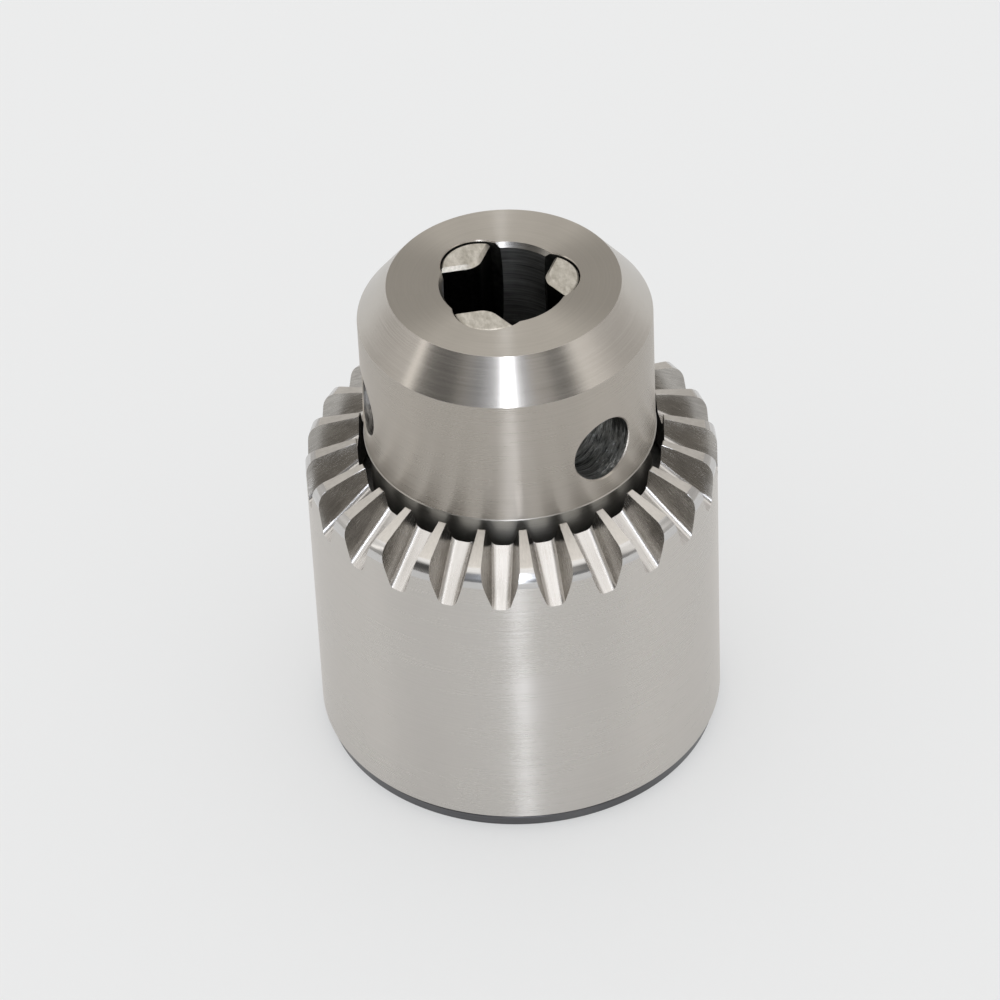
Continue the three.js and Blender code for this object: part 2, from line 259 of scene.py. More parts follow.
def finish_shape(obj, edges=(), bores=(), sharp=35, classify=None):
    """Exact shading normals: turned faces take them from the outline, bored faces from their axis, and the rest are
    averaged over each smooth patch. classify(centre, normal, kind) gives a face's material index."""
    me = obj.data
    n = len(me.polygons)
    centre = np.zeros(n * 3)
    normal = np.zeros(n * 3)
    me.polygons.foreach_get("center", centre)
    me.polygons.foreach_get("normal", normal)
    centre, normal = centre.reshape(-1, 3) / S, normal.reshape(-1, 3)
    start = np.zeros(n, int)
    total = np.zeros(n, int)
    me.polygons.foreach_get("loop_start", start)
    me.polygons.foreach_get("loop_total", total)
    lv = np.zeros(len(me.loops), int)
    me.loops.foreach_get("vertex_index", lv)
    co = np.zeros(len(me.vertices) * 3)
    me.vertices.foreach_get("co", co)
    co = co.reshape(-1, 3) / S
    face_of = np.repeat(np.arange(n), total)
    p = co[lv]
    out = normal[face_of].copy()
    kind = np.full(n, -1)
    # turned faces
    rc = np.hypot(centre[:, 0], centre[:, 1])
    er = centre[:, :2] / np.maximum(rc, 1e-9)[:, None]
    nr = (normal[:, :2] * er).sum(1)
    swirl = np.abs(normal[:, 1] * er[:, 0] - normal[:, 0] * er[:, 1])
    lr = np.hypot(p[:, 0], p[:, 1])
    ler = p[:, :2] / np.maximum(lr, 1e-9)[:, None]
    for a, b, n0, n1 in edges:
        d = b - a
        length = np.linalg.norm(d)
        if length < 1e-9:
            continue
        t = ((rc - a[0]) * d[0] + (centre[:, 2] - a[1]) * d[1]) / length ** 2
        off = np.hypot(rc - a[0] - t * d[0], centre[:, 2] - a[1] - t * d[1])
        mid = (n0 + n1) / np.linalg.norm(n0 + n1)
        hit = (t > -0.02) & (t < 1.02) & (off < 0.02) & (nr * mid[0] + normal[:, 2] * mid[1] > 0.985) & (swirl < 0.06) & (kind < 0)
        kind[hit] = 0
        loops = hit[face_of]
        tl = np.clip(((lr[loops] - a[0]) * d[0] + (p[loops, 2] - a[1]) * d[1]) / length ** 2, 0, 1)[:, None]
        nn = n0 * (1 - tl) + n1 * tl
        nn /= np.linalg.norm(nn, axis=1)[:, None]
        out[loops] = np.c_[nn[:, 0:1] * ler[loops], nn[:, 1:2]]
    # bored or round faces: (point on the axis, direction, radius, +1 if solid or -1 if hole)
    for k, (q, d, radius, sign) in enumerate(bores):
        q, d = np.array(q, float), np.array(d, float)
        d /= np.linalg.norm(d)
        rel = centre - q
        rad = rel - (rel @ d)[:, None] * d
        dist = np.linalg.norm(rad, axis=1)
        hit = (np.abs(dist - radius) < 0.03) & ((rad * normal).sum(1) * sign > 0.97 * dist) & (kind < 0)
        kind[hit] = k + 1
        loops = hit[face_of]
        rel = p[loops] - q
        rad = rel - (rel @ d)[:, None] * d
        out[loops] = sign * rad / np.maximum(np.linalg.norm(rad, axis=1), 1e-9)[:, None]
    # the rest: average the faces round each corner that lie within the angle
    rest = np.where(kind < 0)[0]
    around = {}
    for f in rest:
        for l in range(start[f], start[f] + total[f]):
            around.setdefault(lv[l], []).append(f)
    area = np.zeros(n)
    me.polygons.foreach_get("area", area)
    cosine = math.cos(sharp * DEG)
    for f in rest:
        for l in range(start[f], start[f] + total[f]):
            s = sum((normal[g] * area[g] for g in around[lv[l]] if normal[g] @ normal[f] > cosine), np.zeros(3))
            size = np.linalg.norm(s)
            out[l] = s / size if size > 1e-12 else normal[f]
    me.polygons.foreach_set("use_smooth", np.ones(n, bool))
    if classify:
        me.polygons.foreach_set("material_index", np.array([classify(centre[i], normal[i], kind[i]) for i in range(n)]))
    me.update()
    me.normals_split_custom_set([tuple(v) for v in out])
    return obj


def on_jaw(t, h):
    """Radius and height of a point on a jaw's own line: t back from the nose face, h out from the jaw's axis."""
    return (JAW_OFFSET + t * math.sin(TILT) + h * math.cos(TILT), LENGTH - t * math.cos(TILT) + h * math.sin(TILT))


def at(r, z, degrees, side=0.0):
    a = degrees * DEG
    return (r * math.cos(a) - side * math.sin(a), r * math.sin(a) + side * math.cos(a), z)


# ---------------------------------------------------------------- materials
def nodes_of(name):
    m = bpy.data.materials.new(name)
    m.use_nodes = True
    nt = m.node_tree
    bsdf = next(n for n in nt.nodes if n.type == "BSDF_PRINCIPLED")
    return m, nt, bsdf


def node(nt, kind, **values):
    n = nt.nodes.new(kind)
    for k, v in values.items():
        if k.startswith("in_"):
            key = k[3:]
            key = int(key) if key.isdigit() else key.replace("_", " ")
            n.inputs[key].default_value = v
        else:
            setattr(n, k, v)
    return n


def link(nt, a, b):
    nt.links.new(a, b)


def turned_vector(nt, freq, swirl=0.0):
    """Object position as (radius, height, a little of the angle), for lines that run round the axis."""
    tc = node(nt, "ShaderNodeTexCoord")
    sep = node(nt, "ShaderNodeSeparateXYZ")
    link(nt, tc.outputs["Object"], sep.inputs[0])
    flat = node(nt, "ShaderNodeCombineXYZ")
    link(nt, sep.outputs[0], flat.inputs[0])
    link(nt, sep.outputs[1], flat.inputs[1])
    length = node(nt, "ShaderNodeVectorMath", operation="LENGTH")
    link(nt, flat.outputs[0], length.inputs[0])
    r = node(nt, "ShaderNodeMath", operation="MULTIPLY", in_1=freq)
    link(nt, length.outputs["Value"], r.inputs[0])
    z = node(nt, "ShaderNodeMath", operation="MULTIPLY", in_1=freq)
    link(nt, sep.outputs[2], z.inputs[0])
    ang = node(nt, "ShaderNodeMath", operation="ARCTAN2")
    link(nt, sep.outputs[1], ang.inputs[0])
    link(nt, sep.outputs[0], ang.inputs[1])
    sw = node(nt, "ShaderNodeMath", operation="MULTIPLY", in_1=swirl)
    link(nt, ang.outputs[0], sw.inputs[0])
    v = node(nt, "ShaderNodeCombineXYZ")
    link(nt, r.outputs[0], v.inputs[0])
    link(nt, z.outputs[0], v.inputs[1])
    link(nt, sw.outputs[0], v.inputs[2])
    return v.outputs[0], tc


def turned_steel(name, dark, light, rough, aniso, line=0.35, cloud=0.05, spread=0.06):
    """Steel turned on a lathe: fine lines round the axis, with soft clouding."""
    m, nt, b = nodes_of(name)
    b.inputs["Metallic"].default_value = 1.0
    b.inputs["Anisotropic"].default_value = aniso
    b.inputs["Anisotropic Rotation"].default_value = 0.25
    tan = node(nt, "ShaderNodeTangent", direction_type="RADIAL", axis="Z")
    link(nt, tan.outputs[0], b.inputs["Tangent"])
    fine, tc = turned_vector(nt, 9000.0, 1.2)
    lines = node(nt, "ShaderNodeTexNoise", noise_dimensions="3D", in_Scale=1.0, in_Detail=2.0, in_Roughness=0.6)
    link(nt, fine, lines.inputs["Vector"])
    clouds = node(nt, "ShaderNodeTexNoise", in_Scale=90.0, in_Detail=4.0, in_Roughness=0.6)
    link(nt, tc.outputs["Object"], clouds.inputs["Vector"])
    mix = node(nt, "ShaderNodeMix", data_type="FLOAT", in_0=0.55)
    link(nt, lines.outputs["Fac"], mix.inputs[2])
    link(nt, clouds.outputs["Fac"], mix.inputs[3])
    ramp = node(nt, "ShaderNodeValToRGB")
    ramp.color_ramp.elements[0].position, ramp.color_ramp.elements[1].position = 0.35, 0.65
    ramp.color_ramp.elements[0].color = (*dark, 1)
    ramp.color_ramp.elements[1].color = (*light, 1)
    link(nt, mix.outputs[0], ramp.inputs[0])
    link(nt, ramp.outputs[0], b.inputs["Base Color"])
    rr = node(nt, "ShaderNodeMapRange", in_1=0.3, in_2=0.7, in_3=rough - spread, in_4=rough + spread)
    link(nt, mix.outputs[0], rr.inputs[0])
    link(nt, rr.outputs[0], b.inputs["Roughness"])
    bump = node(nt, "ShaderNodeBump", in_Strength=line, in_Distance=0.000004)
    link(nt, lines.outputs["Fac"], bump.inputs["Height"])
    link(nt, bump.outputs[0], b.inputs["Normal"])
    return m


def milled_steel(name, dark, light, rough):
    """Steel milled along the tooth gaps: fine streaks that follow the slope of their floors."""
    m, nt, b = nodes_of(name)
    b.inputs["Metallic"].default_value = 1.0
    tc = node(nt, "ShaderNodeTexCoord")
    sep = node(nt, "ShaderNodeSeparateXYZ")
    link(nt, tc.outputs["Object"], sep.inputs[0])
    flat = node(nt, "ShaderNodeCombineXYZ")
    link(nt, sep.outputs[0], flat.inputs[0])
    link(nt, sep.outputs[1], flat.inputs[1])
    length = node(nt, "ShaderNodeVectorMath", operation="LENGTH")
    link(nt, flat.outputs[0], length.inputs[0])
    ang = node(nt, "ShaderNodeMath", operation="ARCTAN2")
    link(nt, sep.outputs[1], ang.inputs[0])
    link(nt, sep.outputs[0], ang.inputs[1])
    across = node(nt, "ShaderNodeMath", operation="MULTIPLY", in_1=110.0)
    link(nt, ang.outputs[0], across.inputs[0])
    slope = node(nt, "ShaderNodeMath", operation="MULTIPLY_ADD", in_1=0.72)
    link(nt, length.outputs["Value"], slope.inputs[0])
    link(nt, sep.outputs[2], slope.inputs[2])
    depth = node(nt, "ShaderNodeMath", operation="MULTIPLY", in_1=5200.0)
    link(nt, slope.outputs[0], depth.inputs[0])
    along = node(nt, "ShaderNodeMath", operation="MULTIPLY", in_1=420.0)
    link(nt, length.outputs["Value"], along.inputs[0])
    v = node(nt, "ShaderNodeCombineXYZ")
    link(nt, across.outputs[0], v.inputs[0])
    link(nt, depth.outputs[0], v.inputs[1])
    link(nt, along.outputs[0], v.inputs[2])
    streaks = node(nt, "ShaderNodeTexNoise", in_Scale=1.0, in_Detail=2.0, in_Roughness=0.5)
    link(nt, v.outputs[0], streaks.inputs["Vector"])
    clouds = node(nt, "ShaderNodeTexNoise", in_Scale=260.0, in_Detail=3.0, in_Roughness=0.6)
    link(nt, tc.outputs["Object"], clouds.inputs["Vector"])
    mix = node(nt, "ShaderNodeMix", data_type="FLOAT", in_0=0.5)
    link(nt, streaks.outputs["Fac"], mix.inputs[2])
    link(nt, clouds.outputs["Fac"], mix.inputs[3])
    ramp = node(nt, "ShaderNodeValToRGB")
    ramp.color_ramp.elements[0].position, ramp.color_ramp.elements[1].position = 0.35, 0.65
    ramp.color_ramp.elements[0].color = (*dark, 1)
    ramp.color_ramp.elements[1].color = (*light, 1)
    link(nt, mix.outputs[0], ramp.inputs[0])
    link(nt, ramp.outputs[0], b.inputs["Base Color"])
    rr = node(nt, "ShaderNodeMapRange", in_1=0.3, in_2=0.7, in_3=rough - 0.05, in_4=rough + 0.06)
    link(nt, mix.outputs[0], rr.inputs[0])
    link(nt, rr.outputs[0], b.inputs["Roughness"])
    bump = node(nt, "ShaderNodeBump", in_Strength=0.35, in_Distance=0.000006)
    link(nt, streaks.outputs["Fac"], bump.inputs["Height"])
    link(nt, bump.outputs[0], b.inputs["Normal"])
    return m


def drilled_steel(name, dark, light, rough, ends):
    """The wall of a hole drilled in towards the axis: rough rings round the hole, oily dark and bare metal mixed, with
    painted shade towards the top of the hole and painted light towards its bottom.
    """
    m, nt, b = nodes_of(name)
    b.inputs["Metallic"].default_value = 1.0
    tc = node(nt, "ShaderNodeTexCoord")
    sep = node(nt, "ShaderNodeSeparateXYZ")
    link(nt, tc.outputs["Object"], sep.inputs[0])
    flat = node(nt, "ShaderNodeCombineXYZ")
    link(nt, sep.outputs[0], flat.inputs[0])
    link(nt, sep.outputs[1], flat.inputs[1])
    length = node(nt, "ShaderNodeVectorMath", operation="LENGTH")
    link(nt, flat.outputs[0], length.inputs[0])
    deep = node(nt, "ShaderNodeMath", operation="MULTIPLY", in_1=2600.0)
    link(nt, length.outputs["Value"], deep.inputs[0])
    high = node(nt, "ShaderNodeMath", operation="MULTIPLY", in_1=420.0)
    link(nt, sep.outputs[2], high.inputs[0])
    wide = node(nt, "ShaderNodeVectorMath", operation="SCALE", in_Scale=300.0)
    link(nt, flat.outputs[0], wide.inputs[0])
    v = node(nt, "ShaderNodeCombineXYZ")
    link(nt, deep.outputs[0], v.inputs[0])
    link(nt, high.outputs[0], v.inputs[1])
    v2 = node(nt, "ShaderNodeVectorMath", operation="ADD")
    link(nt, v.outputs[0], v2.inputs[0])
    link(nt, wide.outputs[0], v2.inputs[1])
    rings = node(nt, "ShaderNodeTexNoise", in_Scale=1.0, in_Detail=4.0, in_Roughness=0.7)
    link(nt, v2.outputs[0], rings.inputs["Vector"])
    ramp = node(nt, "ShaderNodeValToRGB")
    ramp.color_ramp.elements[0].position, ramp.color_ramp.elements[1].position = ends
    ramp.color_ramp.elements[0].color = (*dark, 1)
    ramp.color_ramp.elements[1].color = (*light, 1)
    # painted shade and light: the colour is darkened towards the roof of the hole and lightened towards its floor, for
    # the shade in the top of the hole and the light its lower wall catches
    painted_shade_by_height = node(nt, "ShaderNodeMapRange", in_1=(KEY_Z - 2.2) * S, in_2=(KEY_Z + 2.6) * S, in_3=1.08, in_4=0.68,
                  interpolation_type="SMOOTHSTEP")
    link(nt, sep.outputs[2], painted_shade_by_height.inputs[0])
    rings_and_painted_shade = node(nt, "ShaderNodeMath", operation="MULTIPLY")
    link(nt, rings.outputs["Fac"], rings_and_painted_shade.inputs[0])
    link(nt, painted_shade_by_height.outputs[0], rings_and_painted_shade.inputs[1])
    link(nt, rings_and_painted_shade.outputs[0], ramp.inputs[0])
    link(nt, ramp.outputs[0], b.inputs["Base Color"])
    rr = node(nt, "ShaderNodeMapRange", in_1=0.3, in_2=0.7, in_3=rough + 0.12, in_4=rough - 0.08)
    link(nt, rings.outputs["Fac"], rr.inputs[0])
    link(nt, rr.outputs[0], b.inputs["Roughness"])
    bump = node(nt, "ShaderNodeBump", in_Strength=1.0, in_Distance=0.00012)
    link(nt, rings.outputs["Fac"], bump.inputs["Height"])
    link(nt, bump.outputs[0], b.inputs["Normal"])
    return m


def plain_steel(name, dark, light, rough, scale=2500.0, bump_mm=0.004, strength=0.4, stretch=(1, 1, 1), cloud=140.0):
    """Machined or ground steel with fine marks, without a lathe's pattern."""
    m, nt, b = nodes_of(name)
    b.inputs["Metallic"].default_value = 1.0
    tc = node(nt, "ShaderNodeTexCoord")
    mp = node(nt, "ShaderNodeMapping")
    mp.inputs["Scale"].default_value = stretch
    link(nt, tc.outputs["Object"], mp.inputs[0])
    marks = node(nt, "ShaderNodeTexNoise", in_Scale=scale, in_Detail=3.0, in_Roughness=0.65)
    link(nt, mp.outputs[0], marks.inputs["Vector"])
    clouds = node(nt, "ShaderNodeTexNoise", in_Scale=cloud, in_Detail=3.0, in_Roughness=0.6)
    link(nt, tc.outputs["Object"], clouds.inputs["Vector"])
    mix = node(nt, "ShaderNodeMix", data_type="FLOAT", in_0=0.5)
    link(nt, marks.outputs["Fac"], mix.inputs[2])
    link(nt, clouds.outputs["Fac"], mix.inputs[3])
    ramp = node(nt, "ShaderNodeValToRGB")
    ramp.color_ramp.elements[0].position, ramp.color_ramp.elements[1].position = 0.35, 0.65
    ramp.color_ramp.elements[0].color = (*dark, 1)
    ramp.color_ramp.elements[1].color = (*light, 1)
    link(nt, mix.outputs[0], ramp.inputs[0])
    link(nt, ramp.outputs[0], b.inputs["Base Color"])
    rr = node(nt, "ShaderNodeMapRange", in_1=0.3, in_2=0.7, in_3=rough - 0.05, in_4=rough + 0.07)
    link(nt, mix.outputs[0], rr.inputs[0])
    link(nt, rr.outputs[0], b.inputs["Roughness"])
    bump = node(nt, "ShaderNodeBump", in_Strength=strength, in_Distance=bump_mm * S)
    link(nt, marks.outputs["Fac"], bump.inputs["Height"])
    link(nt, bump.outputs[0], b.inputs["Normal"])
    return m


BODY = turned_steel("body_turned", (0.44, 0.405, 0.36), (0.52, 0.48, 0.43), 0.29, 1.0, line=0.15)
CHAMFER = turned_steel("chamfer_turned", (0.50, 0.47, 0.43), (0.58, 0.55, 0.51), 0.24, 0.85, line=0.15, spread=0.04)
SLEEVE = turned_steel("sleeve_turned", (0.60, 0.575, 0.54), (0.67, 0.64, 0.605), 0.29, 1.0, line=0.1)
CORNER = turned_steel("corner_turned", (0.56, 0.55, 0.54), (0.64, 0.63, 0.62), 0.17, 0.3, line=0.1, spread=0.03)
FACE = turned_steel("face_turned", (0.45, 0.42, 0.375), (0.52, 0.485, 0.435), 0.36, 1.0, line=0.15)
MOUTH = turned_steel("mouth_turned", (0.33, 0.315, 0.29), (0.46, 0.44, 0.41), 0.30, 0.4, line=0.6)
NECK = turned_steel("neck_turned", (0.40, 0.38, 0.345), (0.52, 0.50, 0.455), 0.42, 0.6, line=0.5)
REAR = turned_steel("rear_dark", (0.10, 0.10, 0.105), (0.16, 0.16, 0.165), 0.35, 0.5, line=0.2)
TOOTH = milled_steel("tooth_crest", (0.56, 0.535, 0.50), (0.68, 0.65, 0.61), 0.36)
# the tooth gaps' floors and flanks are one milled steel in a lit and a shaded copy: painted light on the up-facing
# floors, painted shade on the steep flanks
TOOTH_FLOOR_LIT = milled_steel("tooth_floor_lit", (0.62, 0.60, 0.58), (0.76, 0.74, 0.72), 0.27)
FLANKS_SHADED = milled_steel("tooth_flank_shaded", (0.33, 0.315, 0.295), (0.50, 0.48, 0.45), 0.25)
# near-black steel for the jaw bores and the sleeve's inside: painted shade, standing in for the shade deep in the holes
INSIDE_SHADED = plain_steel("bore_dark_painted_shade", (0.05, 0.05, 0.047), (0.17, 0.17, 0.16), 0.45, bump_mm=0.02, scale=1200.0)
BORE = turned_steel("bore_reamed", (0.14, 0.14, 0.135), (0.60, 0.60, 0.59), 0.5, 0.2, line=1.0)
DRILLED = drilled_steel("hole_drilled", (0.12, 0.12, 0.115), (0.92, 0.92, 0.90), 0.32, (0.40, 0.62))
# a darker copy of the drilled steel, painted shade, for the key hole at 180 degrees on the left-hand side
DRILLED_SHADED = drilled_steel("hole_drilled_painted_shade", (0.10, 0.095, 0.09), (0.42, 0.40, 0.37), 0.42, (0.42, 0.66))
TIP = plain_steel("jaw_tip_ground", (0.46, 0.43, 0.365), (0.80, 0.76, 0.69), 0.40, scale=2600.0, cloud=800.0, strength=0.7,
                  stretch=(1, 0.35, 1))
JAW = plain_steel("jaw_dark", (0.016, 0.016, 0.015), (0.06, 0.058, 0.055), 0.32)
RACK = plain_steel("jaw_rack", (0.16, 0.15, 0.14), (0.30, 0.285, 0.27), 0.3)
NUT = plain_steel("nut_oiled", (0.10, 0.098, 0.094), (0.20, 0.195, 0.19), 0.3)
BEARING = plain_steel("bearing_polished", (0.62, 0.63, 0.64), (0.74, 0.75, 0.76), 0.12, strength=0.15)
BRASS = plain_steel("cage_brass", (0.46, 0.34, 0.15), (0.62, 0.48, 0.24), 0.3)


def dress(obj, *mats):
    for m in mats:
        obj.data.materials.append(m)


# ------------------------------------------------------------------- body
def make_body():
    f = 0.12
    outline = [
        (SOCKET_R + 0.25, 0, f), (20.95, 0, 0.2), (FLANGE_R, FLANGE_Z, 0.1), (BARREL_R, FLANGE_Z, 0),
        (BARREL_R, SHOULDER_Z, 0.2), (GROOVE_R, SHOULDER_Z, 0.3), (GROOVE_R, GROOVE_TOP_Z, 0.3),
        (NECK_R, GROOVE_TOP_Z, 0.2), (NECK_R, NOSE_BOTTOM_Z, 0), (NOSE_R + 0.03, NOSE_BOTTOM_Z, 0),
        (NOSE_R + 0.09, NOSE_BOTTOM_Z + 0.05, 0), (NOSE_R, NOSE_BOTTOM_Z + 0.14, 0),
        (NOSE_R, NOSE_CHAMFER_Z, 0.12), (NOSE_FACE_R, LENGTH, 0.12), (BORE_R - 0.06, LENGTH, 0.05),
        (MOUTH_R, LENGTH - 0.55, 0), (MOUTH_R, BORE_BOTTOM_Z, 0), (LINK_R, BORE_BOTTOM_Z - 2, 0), (LINK_R, SOCKET_DEPTH, 0),
        (SOCKET_END_R, SOCKET_DEPTH, 0), (SOCKET_R, 0.25, 0),
    ]
    body, edges = lathe("chuck_body_visual", outline, 240, step=22.5)
    cutters, bores = [], []
    for a in JAW_ANGLES:
        p0 = at(on_jaw(-6, 0)[0], on_jaw(-6, 0)[1], a)
        p1 = at(on_jaw(JAW_BORE_LENGTH, 0)[0], on_jaw(JAW_BORE_LENGTH, 0)[1], a)
        bores.append((p0, Vector(p1) - Vector(p0), JAW_BORE_R, -1))
        boolean(body, rod("c", p0, p1, JAW_BORE_R, 120))
        # the bore's sharp edge on the nose face is broken
        cx = on_jaw(0, 0)[0]
        rings = []
        for dz, grow in ((-0.12, 0.0), (0.3, 0.42)):
            rings.append([at(cx + (JAW_BORE_R / math.cos(TILT) + grow) * math.cos(t), LENGTH + dz, a,
                             (JAW_BORE_R + grow) * math.sin(t)) for t in np.linspace(0, 2 * math.pi, 120, endpoint=False)])
        boolean(body, loft("c", rings))
    for a in KEY_ANGLES:
        p0, p1 = at(KEY_BOTTOM_R, KEY_Z, a), at(NOSE_R + 3, KEY_Z, a)
        bores.append((p0, Vector(p1) - Vector(p0), KEY_R, -1))
        boolean(body, rod("c", p0, p1, KEY_R, 120))
        rim = []
        for t in np.linspace(0, 2 * math.pi, 120, endpoint=False):
            v, w = KEY_R * math.cos(t), KEY_R * math.sin(t)
            u = math.sqrt(NOSE_R ** 2 - v * v)
            rim.append((at(u, KEY_Z + w, a, v), at(u / NOSE_R, 0, a, v / NOSE_R), at(0, -math.sin(t), a, -math.cos(t))))
        boolean(body, chamfer_cutter("c", rim, 0.16))
    clean(body)

    def which(c, n, kind):
        r = math.hypot(c[0], c[1])
        # the jaw bores take the near-black steel: painted shade
        if kind in (1, 2, 3):
            return 2
        # the key hole at 180 degrees (kind 5) takes the darker copy: painted shade on the left-hand hole
        if kind >= 4:
            return 9 if kind == 5 else 3
        if kind == 0:
            if r < BORE_R + 0.15 and 18.6 < c[2] < LENGTH - 0.02:
                return 7 if c[2] < LENGTH - 0.56 else 4
            if c[2] > LENGTH - 0.05 and r < NOSE_FACE_R or c[2] < 0.02:
                return 1
            if 20 < r and c[2] < FLANGE_Z + 0.1:
                return 5
            if NOSE_CHAMFER_Z < c[2]:
                return 6
            if GROOVE_TOP_Z - 0.1 < c[2] < NOSE_BOTTOM_Z + 0.01 and r < NOSE_R:
                return 8
            if NOSE_BOTTOM_Z < c[2] < NOSE_BOTTOM_Z + 0.14 and r > NOSE_R + 0.01:
                return 4
        # the ends of the key holes: the left-hand one takes the darker copy, painted shade
        if kind < 0 and r < 9 and 38 < c[2] < 50:
            return 9 if c[0] < -6 else 3
        return 0

    finish_shape(body, edges, bores, classify=which)
    dress(body, BODY, FACE, INSIDE_SHADED, DRILLED, MOUTH, REAR, CHAMFER, BORE, NECK, DRILLED_SHADED)
    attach(body, "root")
    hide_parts("chuck_body")
    return body


# ----------------------------------------------------------------- sleeve
def make_sleeve():
    outline = [
        (SLEEVE_FRONT_R, SLEEVE_STEP_Z, 0.2), (SLEEVE_BORE_R, SLEEVE_STEP_Z, 0.3),
        (SLEEVE_BORE_R, SLEEVE_BOTTOM_Z, 0.2), (SLEEVE_R, SLEEVE_BOTTOM_Z, 0.18),
        (SLEEVE_R, CREST_OUT_Z, CREST_ROUND), (SLEEVE_FRONT_R, CREST_IN_Z, 0.12),
    ]
    sleeve, edges = lathe("sleeve_visual", outline, 288, step=7.5)
    lean = math.atan2(CREST_IN_Z - CREST_OUT_Z, SLEEVE_R - SLEEVE_FRONT_R)
    round_turn = math.pi / 2 - lean
    round_z = CREST_OUT_Z - CREST_ROUND * math.tan(round_turn / 2)
    round_r = SLEEVE_R - CREST_ROUND

    def crest_z(u):
        cone = CREST_IN_Z - (u - SLEEVE_FRONT_R) * math.tan(lean)
        if u < round_r + CREST_ROUND * math.cos(round_turn):
            return cone
        return round_z + math.sqrt(max(0.0, CREST_ROUND ** 2 - (min(u, SLEEVE_R) - round_r) ** 2))
    span = SLEEVE_R - SLEEVE_FRONT_R
    corner_r, broken = 0.72, 0.09
    cutters = []
    stations = [SLEEVE_FRONT_R - 0.6, SLEEVE_FRONT_R, 17.4, 18.8, 20.14, 20.4, 20.7, 20.95, 21.15, 21.3, 21.4, 21.46,
                SLEEVE_R, SLEEVE_R + 0.6]
    for i in range(TEETH):
        a = TOOTH_PHASE + 360 * i / TEETH
        rings = []
        for u in stations:
            k = (u - SLEEVE_FRONT_R) / span
            floor = FLOOR_IN_Z + (FLOOR_OUT_Z - FLOOR_IN_Z) * k
            base = GAP_FLOOR_IN + (GAP_FLOOR_OUT - GAP_FLOOR_IN) * k
            crest = crest_z(u) - floor
            # half the section, from the middle of the floor up: (side, height)
            lean = math.atan(GAP_FLANK)
            flat = base - corner_r * math.tan((math.pi / 2 - lean) / 2)
            shape = [(flat + corner_r * math.sin(t), corner_r * (1 - math.cos(t)))
                     for t in np.linspace(0, math.pi / 2 - lean, 8)]
            s0, h0 = shape[-1]
            edge = crest - broken

            def side(h):
                return s0 + GAP_FLANK * (h - h0) + 0.05 * math.sin(math.pi * min(1, max(0, (h - h0) / 3.2)))
            for q in np.linspace(h0, edge, 8)[1:]:
                shape.append((side(q), float(q)))
            shape.append((side(edge) + 2.2 * broken, edge + 2.2 * broken))
            shape.append((side(edge) + 2.2 * broken, crest + 4.0))
            section = [(-w, h) for w, h in shape[::-1]] + shape
            rings.append([at(u, floor + h, a, w) for w, h in section])
        cutters.append(loft("c", rings))
    boolean(sleeve, join("c", cutters))
    clean(sleeve)

    def which(c, n, kind):
        r = math.hypot(c[0], c[1])
        if kind == 0:
            # the sleeve's inside takes the near-black steel: painted shade
            if r < 19.4 and n[2] < 0.5:
                return 3
            return 1 if c[2] > 35.6 else 4 if c[2] > round_z + 0.03 else 0
        # cut faces by their slope: steep flanks take the shaded copy and up-facing floors the lit copy, painted shade
        # and light
        return 2 if n[2] < 0.5 else 5

    finish_shape(sleeve, edges, classify=which, sharp=26)
    dress(sleeve, SLEEVE, TOOTH, FLANKS_SHADED, INSIDE_SHADED, CORNER, TOOTH_FLOOR_LIT)
    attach(sleeve, "sleeve_unit")
    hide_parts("sleeve")
    return sleeve


